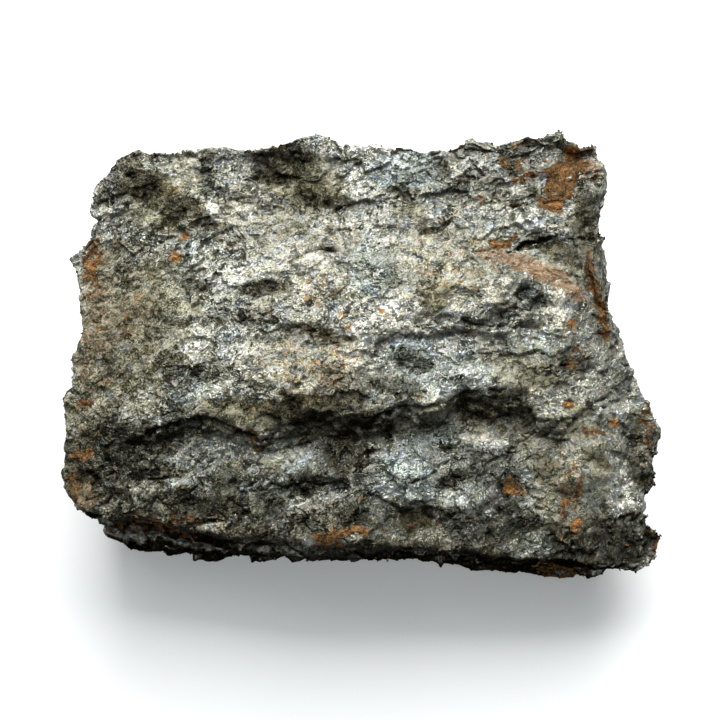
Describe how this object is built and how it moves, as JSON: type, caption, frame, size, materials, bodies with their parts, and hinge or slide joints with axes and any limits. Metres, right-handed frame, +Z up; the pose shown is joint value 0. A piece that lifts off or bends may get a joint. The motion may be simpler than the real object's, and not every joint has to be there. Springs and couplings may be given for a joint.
{
  "type": "arsenopyrite specimen",
  "caption": "Arsenopyrite hand specimen: a broken block of massive, fine-grained silver-grey ore with rust stains, to lie on a shelf, a table or a display stand.",
  "frame": {"origin": "on the surface that the specimen lies on, under the middle of its box in plan", "axes": "+X along the specimen's long side, to the right in the picture; +Y to its back; +Z up, through its thickness"},
  "size_m": [0.1196, 0.0859, 0.0469],
  "materials": {
    "arsenopyrite": "rough natural break: fine metallic grain, silver to dark grey, with an olive film and rust stains"
  },
  "bodies": {
    "root": {"arsenopyrite_lump": "arsenopyrite"}
  },
  "joints": []
}
